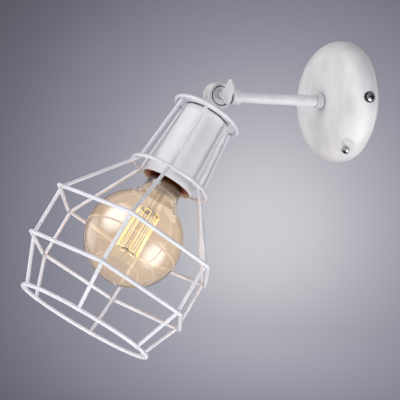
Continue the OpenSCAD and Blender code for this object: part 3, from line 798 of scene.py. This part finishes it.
def press(mesh, axes, radius, floor, rim):
    """Pushes the sheet down to a flat round floor, with a rim that turns over softly."""
    back = axes.inverted()
    for v in mesh.verts:
        at = back @ v.co
        if at.z > floor:
            depth = min(max((radius + rim / 2 - at.xy.length) / rim, 0), 1)
            at.z += (floor - at.z) * depth * depth * (3 - 2 * depth)
            v.co = axes @ at


def punch(mesh, axes, radius):
    """Takes a round hole out of the sheet where the axis starts, and trues its edge."""
    back = axes.inverted()
    gone = [f for f in mesh.faces
            if (back @ f.calc_center_median()).xy.length < radius
            and abs((back @ f.calc_center_median()).z) < PUNCH_REACH]
    edge = {v for f in gone for v in f.verts}
    bmesh.ops.delete(mesh, geom=gone, context="FACES")
    for v in edge:
        if v.is_valid and v.is_boundary:
            at = back @ v.co
            at.xy = at.xy.normalized() * radius
            v.co = axes @ at


canopy = turned(sheet_outline(), steps=240, closed=False)
for axes in SIDE_SCREWS:
    # The pocket is a little nearer the face than its screw, so a dark gap shows beside the head
    pocket = axes @ Matrix.Translation((-SIDE_SHIFT, 0, SIDE_FLOOR))
    refine(canopy, pocket, SIDE_FINE_R)
    press(canopy, pocket, SIDE_POCKET_R, 0, SIDE_RIM)
    punch(canopy, axes @ Matrix.Translation((0, 0, SIDE_FLOOR)), SIDE_HOLE_R)
refine(canopy, DIMPLE, DIMPLE_FINE_R)
press(canopy, DIMPLE, DIMPLE_R, -DIMPLE_DEPTH, DIMPLE_RIM)
punch(canopy, LOWER_SCREW, LOWER_HOLE_R)
canopy_piece = place(canopy, "pressed_canopy", WALL, "wall_part", canopy_coat, "canopy", sharp=60)
sheet = canopy_piece.modifiers.new("sheet_thickness", "SOLIDIFY")
sheet.thickness = SHEET / MM_PER_METRE
sheet.offset = -1.0

# %% [markdown]
# A thread is a spin with a climb: one pitch of the thread's wave is carried round while it rises by
# one pitch a turn, and the seams meet because each turn ends where the next began. Two planes then
# cut the thread to length.

# %% Threads
WAVE_CHORDS = 6


def sliced(mesh, at, normal, clear=False):
    """Cuts the mesh with a plane, clears what is beyond it if asked, and returns the cut's edges."""
    cut = bmesh.ops.bisect_plane(mesh, geom=mesh.verts[:] + mesh.edges[:] + mesh.faces[:],
                                 plane_co=at, plane_no=normal, clear_outer=clear)
    return only(bmesh.types.BMEdge, cut["geom_cut"])


def threaded(radius, depth, pitch, low, high, steps=36, fill=True):
    """Helical thread between two heights, with rounded crests of the given depth."""
    mesh = bmesh.new()
    points = []
    for k in range(WAVE_CHORDS + 1):
        dip = depth * (0.5 - 0.5 * math.cos(math.tau * k / WAVE_CHORDS))
        points.append(mesh.verts.new((radius - dip, 0, low - pitch + pitch * k / WAVE_CHORDS)))
    lines = [mesh.edges.new(pair) for pair in zip(points, points[1:])]
    turns = math.ceil((high - low) / pitch) + 1
    bmesh.ops.spin(mesh, geom=points + lines, cent=(0, 0, 0), axis=(0, 0, 1),
                   angle=math.tau * turns, steps=steps * turns, dvec=(0, 0, pitch / steps))
    bmesh.ops.remove_doubles(mesh, verts=mesh.verts, dist=SEAM_MM)
    for level, way in ((low, -1), (high, 1)):
        rim = sliced(mesh, (0, 0, level), (0, 0, way), clear=True)
        if fill:
            bmesh.ops.edgeloop_fill(mesh, edges=rim)
    return mesh


sample = threaded(2.0, 0.4, 0.7, 0, 5)
print("5 mm of an M4 thread has", len(sample.faces), "faces")
sample.free()

# %% [markdown]
# The screws are cross-headed pan screws with a real thread. The recess is cut by slicing the head
# along the cross's four sides and its ends, and then sinking the faces inside the cross.

# %% Screws
# Radius of the head's dome and depth of the thread, as parts of the head's radius and the pitch
DOME, THREAD_DEPTH = 1.6, 0.6
DOME_CHORDS = 8
FOOT_SET_BACK, FOOT_EDGE_Z, CROSS_WALL_LEAN, THREAD_LAP = 0.25, 0.3, 0.12, 0.05
# Faces below this part of the head's height are its foot and stay out of the cross
CROSS_FROM = 0.55


def join(mesh, other, axes=Matrix.Identity(4)):
    """Adds the other mesh, put in the given axes, to this one."""
    bmesh.ops.transform(other, matrix=axes, verts=other.verts)
    data = bpy.data.meshes.new("joined")
    other.to_mesh(data)
    other.free()
    mesh.from_mesh(data)
    bpy.data.meshes.remove(data)


def pan_screw(head_r, head_t, thread_r, pitch, length, cross_w, cross_l, cross_depth):
    """Pan head from its flat foot at Z = 0, with a cross recess, and a thread below it."""
    dome_r = DOME * head_r
    dome = [(dome_r * math.sin(a), head_t - dome_r * (1 - math.cos(a)))
            for a in [math.asin(1 / DOME) * k / DOME_CHORDS for k in range(DOME_CHORDS, -1, -1)]]
    head = turned([(0, 0), (head_r - FOOT_SET_BACK, 0), (head_r, FOOT_EDGE_Z)] + dome, steps=48,
                  closed=False)
    for side in ((1, 0, 0), (0, 1, 0)):
        for offset in (-cross_l / 2, -cross_w / 2, cross_w / 2, cross_l / 2):
            sliced(head, Vector(side) * offset, side)

    def in_cross(face):
        centre = face.calc_center_median()
        small, large = sorted((abs(centre.x), abs(centre.y)))
        return centre.z > head_t * CROSS_FROM and small < cross_w / 2 and large < cross_l / 2

    bmesh.ops.remove_doubles(head, verts=head.verts, dist=SEAM_MM)
    bmesh.ops.recalc_face_normals(head, faces=head.faces)
    sunk = [f for f in head.faces if in_cross(f)]
    bmesh.ops.inset_region(head, faces=sunk, thickness=CROSS_WALL_LEAN,
                           depth=-cross_depth, use_even_offset=True, use_boundary=True)
    join(head, threaded(thread_r, THREAD_DEPTH * pitch, pitch, -length, THREAD_LAP, steps=20))
    return head


side_pair = bmesh.new()
for axes in SIDE_SCREWS:
    seat = axes @ Matrix.Translation((0, 0, SIDE_FLOOR + SIDE_STAND))
    screw = pan_screw(head_r=4.1, head_t=2.9, thread_r=2.0, pitch=0.7, length=9.0, cross_w=1.3,
                      cross_l=4.8, cross_depth=1.6)
    join(side_pair, screw, seat)
place(side_pair, "pan_screws_at_sides", WALL, "wall_part", chromed, "side_screws")
lower = pan_screw(head_r=3.0, head_t=2.7, thread_r=1.5, pitch=0.5, length=7.0, cross_w=0.85,
                  cross_l=3.2, cross_depth=1.2)
bmesh.ops.transform(lower, matrix=LOWER_SCREW, verts=lower.verts)
place(lower, "pan_screw_in_shoulder", WALL, "wall_part", chromed, "lower_screw")

# %% [markdown]
# The arm is a plain steel tube. A turned collar hides where it enters the canopy: a wide foot and a
# narrow sleeve, whose two edges show as two thin arcs.

# %% Arm tube and collar
TUBE_BORE_R, TUBE_ENDS, TUBE_EDGE = 4.0, (12.0, 114.4), 0.2
tube = turned(rounded([(ARM_R, TUBE_ENDS[0], TUBE_EDGE), (ARM_R, TUBE_ENDS[1], TUBE_EDGE),
                       (TUBE_BORE_R, TUBE_ENDS[1], TUBE_EDGE), (TUBE_BORE_R, TUBE_ENDS[0], TUBE_EDGE)]))
place(tube, "drawn_arm_tube", WALL, "wall_part", wire_coat, "arm_tube")
FOOT_R, UNDERCUT_R, SLEEVE_R = ARM_R + 1.5, ARM_R + 0.9, ARM_R + 0.8
FOOT_TOP, SLEEVE_TOP = CANOPY_DEPTH + 3.4, CANOPY_DEPTH + 6.4
collar = turned(rounded([(ARM_R, CANOPY_DEPTH, 0), (UNDERCUT_R, CANOPY_DEPTH, 0),
                         (UNDERCUT_R, CANOPY_DEPTH + 0.3, 0), (FOOT_R, CANOPY_DEPTH + 0.4, 0.1),
                         (FOOT_R, FOOT_TOP, 0.4), (UNDERCUT_R, FOOT_TOP, 0),
                         (ARM_R + 0.5, FOOT_TOP - 0.5, 0.1), (SLEEVE_R, FOOT_TOP + 0.3, 0.2),
                         (SLEEVE_R, SLEEVE_TOP, 0.25), (ARM_R + 0.35, SLEEVE_TOP, 0.1),
                         (ARM_R, SLEEVE_TOP - 0.9, 0)]))
place(collar, "turned_arm_collar", WALL, "wall_part", cast_coat, "arm_collar")

# %% [markdown]
# The joint's two halves and the wing screw are zinc castings, with the soft edges that a mould and a
# coat of powder leave. Their outline is right in the CAD model, but its edges are sharp. So each is
# copied, rebuilt as an even fine mesh by a voxel remesh, and smoothed a few times, which rounds every
# edge and fills every corner by a few tenths of a millimetre.

# %% Castings
CAD_SEAM_MM = 0.001


def cast_copy(node, name, body, voxel_mm, smoothing):
    """Copy of a CAD node with soft edges."""
    mesh = bmesh.new()
    mesh.from_mesh(nodes[node].data)
    bmesh.ops.transform(mesh, matrix=PIVOT.inverted(), verts=mesh.verts)
    bmesh.ops.remove_doubles(mesh, verts=mesh.verts, dist=CAD_SEAM_MM)
    draft = into_object(mesh, "draft", cast_coat)
    remesh = draft.modifiers.new("remesh", "REMESH")
    remesh.mode = "VOXEL"
    remesh.voxel_size = voxel_mm
    result = bpy.data.meshes.new_from_object(draft.evaluated_get(bpy.context.evaluated_depsgraph_get()))
    cast = bmesh.new()
    cast.from_mesh(result)
    for data_block in (draft.data, result):
        bpy.data.meshes.remove(data_block)
    for _ in range(smoothing):
        bmesh.ops.smooth_vert(cast, verts=cast.verts, factor=0.5, use_axis_x=True, use_axis_y=True,
                              use_axis_z=True)
    place(cast, name, PIVOT, body, cast_coat, node, sharp=80)


cast_copy("arm_knuckle", "cast_arm_knuckle", "wall_part", voxel_mm=0.3, smoothing=5)
cast_copy("head_knuckle", "cast_head_knuckle", "lamp_head", voxel_mm=0.3, smoothing=4)
cast_copy("wing_screw", "cast_wing_screw", "wing", voxel_mm=0.22, smoothing=8)

# %% [markdown]
# A washer lies in the front disc's recess and takes the screw's pressure. It is turned about the
# wing screw's axis, and its outer edge is softer than that of its bore.

# %% Pressure washer
ACROSS = PIVOT @ Matrix.Rotation(math.pi / 2, 4, "Y")
WASHER_R, WASHER_BORE_R, WASHER_BACK, WASHER_FRONT = 7.9, 2.6, 2.6, 4.7
washer = turned(rounded([(WASHER_BORE_R, WASHER_BACK, 0), (WASHER_R, WASHER_BACK, 0),
                         (WASHER_R, WASHER_FRONT, 0.5), (WASHER_BORE_R, WASHER_FRONT, 0.3)]))
place(washer, "turned_pressure_washer", ACROSS, "lamp_head", cast_coat, "pressure_washer")

# %% [markdown]
# The socket cup is a thin spun beaker, which a nut inside holds against the cage's top plate. It
# widens a little towards its mouth, and its closed end has a small step and a soft corner.

# %% Top plate and socket cup
PLATE_TOP, PLATE_T, PLATE_R, NIPPLE_R = -19.5, 1.5, 28.45, 5.0
CUP_TOP, CUP_MOUTH, CUP_WALL = PLATE_TOP - PLATE_T, -91.4, 1.0
STEP_R, STEP_FOOT_R, STEP_T, CUP_NECK_R, CUP_MOUTH_R = 18.6, 18.9, 0.9, 21.3, 23.2
plate = turned(rounded([(NIPPLE_R, PLATE_TOP, 0.2), (NIPPLE_R, CUP_TOP, 0), (PLATE_R, CUP_TOP, 0.5),
                        (PLATE_R, PLATE_TOP, 0.5)]))
place(plate, "stamped_top_plate", HEAD, "lamp_head", wire_coat, "cage_top_plate")
cup = turned(rounded([(NIPPLE_R, CUP_TOP, 0), (STEP_R, CUP_TOP, 0), (STEP_FOOT_R, CUP_TOP - STEP_T, 0),
                      (CUP_NECK_R, CUP_TOP - STEP_T, 1.4), (CUP_MOUTH_R, CUP_MOUTH, 0.45),
                      (CUP_MOUTH_R - CUP_WALL, CUP_MOUTH, 0.45),
                      (CUP_NECK_R - CUP_WALL, CUP_TOP - CUP_WALL, 2.0),
                      (NIPPLE_R, CUP_TOP - CUP_WALL, 0)], chords=8), steps=160)
place(cup, "spun_socket_cup", HEAD, "lamp_head", cup_coat, "socket_cup")

# %% [markdown]
# The lampholder hides in the cup, but for its brown mouth, which shows round the bulb's neck as a
# few coppery rings. Three rounded grooves inside the mouth, where a shade ring would screw, draw
# those rings. A cap closes the sleeve at its top.

# %% Lampholder
HOLDER_R, HOLDER_BORE_R, HOLDER_JOIN, HOLDER_MOUTH, HOLDER_WALL = 19.6, 16.8, -47.0, -89.5, 2
GROOVES, GROOVE_PITCH, GROOVE_DEPTH, FIRST_GROOVE = 3, 2.0, 0.8, 1.6
cap_half = turned(rounded([(NIPPLE_R, -27, 0.3), (7.5, -27, 0.6), (7.5, -32, 1.0), (15, -34.5, 2.0),
                           (HOLDER_R, -40, 2.5), (HOLDER_R, HOLDER_JOIN, 0.3),
                           (HOLDER_R - HOLDER_WALL, HOLDER_JOIN, 0.3),
                           (HOLDER_R - HOLDER_WALL, -41, 2.0), (13.8, -36.5, 1.5),
                           (NIPPLE_R, -34.5, 0.3)]))
place(cap_half, "moulded_holder_cap", HEAD, "lamp_head", phenolic, "holder_cap")
grooved = []
for groove in range(GROOVES):
    level = HOLDER_MOUTH + FIRST_GROOVE + GROOVE_PITCH * groove
    grooved += [(HOLDER_BORE_R, level, 0.3), (HOLDER_BORE_R + GROOVE_DEPTH, level + 0.7, 0.3),
                (HOLDER_BORE_R, level + 1.4, 0.3)]
sleeve = turned(rounded([(HOLDER_BORE_R, HOLDER_JOIN, 0.3), (HOLDER_R, HOLDER_JOIN, 0.3),
                         (HOLDER_R, HOLDER_MOUTH, 0.7), (HOLDER_BORE_R, HOLDER_MOUTH, 0.5)] + grooved))
place(sleeve, "moulded_holder_sleeve", HEAD, "lamp_head", phenolic, "holder_body")

# %% [markdown]
# The globe is blown glass with two skins, because light bends at each. Its outline is three arcs
# and lines: the globe, the hollow throat that meets it without a corner, and the neck that narrows
# into the cap. The outer and the inner skin use the same formula, one wall apart.

# %% Globe
NECK_R, GLASS, CAP_R, CAP_WALL = 15.9, 0.8, 13.2, 0.6
GLASS_TOP, NECK_BENDS = -84, (-87.5, -91.2, -93.5)
# The glass stands in the cap with a hair of room, and widens below it to the neck
IN_CAP_R, NECK_BEND_R = CAP_R - CAP_WALL - 0.05, NECK_R - 0.8
THROAT_GAP, THROAT_CHORDS, GLOBE_CHORDS = 48.8, 12, 48
throat_z = GLOBE_Z + THROAT_GAP
throat_r = (THROAT_GAP ** 2 - GLOBE_R ** 2 + NECK_R ** 2) / (2 * (GLOBE_R - NECK_R))
throat_lean = math.atan2(THROAT_GAP, NECK_R + throat_r)


def glass_skin(inset):
    """Outline of one skin, from its edge in the cap to its pole at the bottom of the globe."""
    skin = [(IN_CAP_R - inset, GLASS_TOP), (IN_CAP_R - inset, NECK_BENDS[0]),
            (NECK_BEND_R - inset, NECK_BENDS[1]), (NECK_R - inset, NECK_BENDS[2])]
    for chord in range(THROAT_CHORDS + 1):
        angle = math.pi + throat_lean * chord / THROAT_CHORDS
        skin.append((NECK_R + throat_r + (throat_r + inset) * math.cos(angle),
                     throat_z + (throat_r + inset) * math.sin(angle)))
    for chord in range(1, GLOBE_CHORDS + 1):
        angle = throat_lean - (throat_lean + math.pi / 2) * chord / GLOBE_CHORDS
        skin.append((max((GLOBE_R - inset) * math.cos(angle), 0),
                     GLOBE_Z + (GLOBE_R - inset) * math.sin(angle)))
    return skin


globe = turned(glass_skin(0)[::-1] + glass_skin(GLASS), steps=128, closed=False)
place(globe, "blown_globe", HEAD, "lamp_head", amber_glass, "bulb_glass", sharp=60)

# %% [markdown]
# The bulb's cap is thin brass, rolled into a coarse round thread between a plain skirt and a
# shoulder. The stem is drawn from glass tube: a flare that is sealed into the neck, and a thin rod
# that carries the hooks.

# %% Screw cap and stem
CAP_THREAD_DEPTH, CAP_PITCH = 0.6, 3.62
SKIRT_TOP, CAP_END, CAP_TOP, CAP_SHOULDER = -83.0, -87.0, -63.5, -64.5
bulb_cap = threaded(CAP_R, CAP_THREAD_DEPTH, CAP_PITCH, SKIRT_TOP, CAP_SHOULDER, steps=48, fill=False)
join(bulb_cap, turned([(CAP_R - CAP_WALL, CAP_END), (CAP_R - 0.1, CAP_END), (CAP_R - 0.3, SKIRT_TOP)],
                      closed=False))
join(bulb_cap, turned([(CAP_R - CAP_WALL, CAP_SHOULDER), (CAP_R - 1.2, CAP_TOP)], closed=False))
place(bulb_cap, "rolled_screw_cap", HEAD, "lamp_head", shaded_brass, "bulb_cap", sharp=60)
FLARE_R, STEM_R, ROD_R = 11.6, 3.2, 1.1
stem = turned(rounded([(0, -85, 0), (FLARE_R, -85, 0), (FLARE_R, -86, 0.4), (5, -96, 6),
                       (STEM_R, -103, 8), (STEM_R, -118, 0.8), (ROD_R, -120, 0.8), (ROD_R, -159, 0.8),
                       (0, -160, 0)]), steps=40, closed=False)
place(stem, "drawn_glass_stem", HEAD, "lamp_head", stem_glass, "bulb_stem", sharp=60)

# %% [markdown]
# The filament is one long thread, hung up and down between two stars of hooks. It is swept with the
# wire bender, with a tight bend at each hook. A small lamp in its middle stands in for the light
# that it throws on the cage, and moves with the head.

# %% Filament and its light
HOOK_R, HOOK_TOP, HOOK_LOW = 10.0, -120.0, -158.0
STRANDS, FIRST_STRAND, STRAND_SPREAD = 12, 105, 330
THREAD_T, THREAD_BEND = 0.36, 0.8
hung = []
for strand in range(STRANDS):
    angle = math.radians(FIRST_STRAND + strand * STRAND_SPREAD / (STRANDS - 1))
    ends = [round_head(angle, HOOK_R, HOOK_TOP), round_head(angle, HOOK_R, HOOK_LOW)]
    hung += ends if strand % 2 == 0 else ends[::-1]
filament = bent_wire(bmesh.new(), hung, THREAD_BEND, THREAD_T, sides=6, swing=math.radians(30))
place(filament, "hung_filament", HEAD, "lamp_head", glowing, "filament", sharp=60)

filament_middle = HEAD @ Vector((0, 0, (HOOK_TOP + HOOK_LOW) / 2))
filament_light = unseen_lamp("filament_light", "POINT", Matrix.Translation(filament_middle),
                             color=colour("#ff8a74")[:3], energy=0.13, shadow_soft_size=0.02)
filament_light.parent = frame["bodies"]["lamp_head"]

# %% [markdown]
# What is hidden, or too small to gain from more work, shows as the CAD model has it. Such a node
# needs only a material, and one dictionary gives each its own.

# %% Materials of the CAD nodes that show as they are
bare_nodes = {
    "mounting_plate": zinc, "terminal_block": polyamide, "terminal_screws": brass,
    "earth_screw": brass, "arm_lock_washer": zinc, "arm_lock_nut": zinc, "head_nipple": zinc,
    "nipple_nut": zinc, "holder_insert": porcelain, "holder_shell": brass, "holder_contact": brass,
    "bulb_insulator": cap_glass, "bulb_contact": solder, "bulb_leads": nickel, "filament_hooks": nickel,
}
for name, node in nodes.items():
    node.data.materials.clear()
    node.data.materials.append(bare_nodes.get(name, wire_coat))
print("nodes shown as they are:", len(bare_nodes))
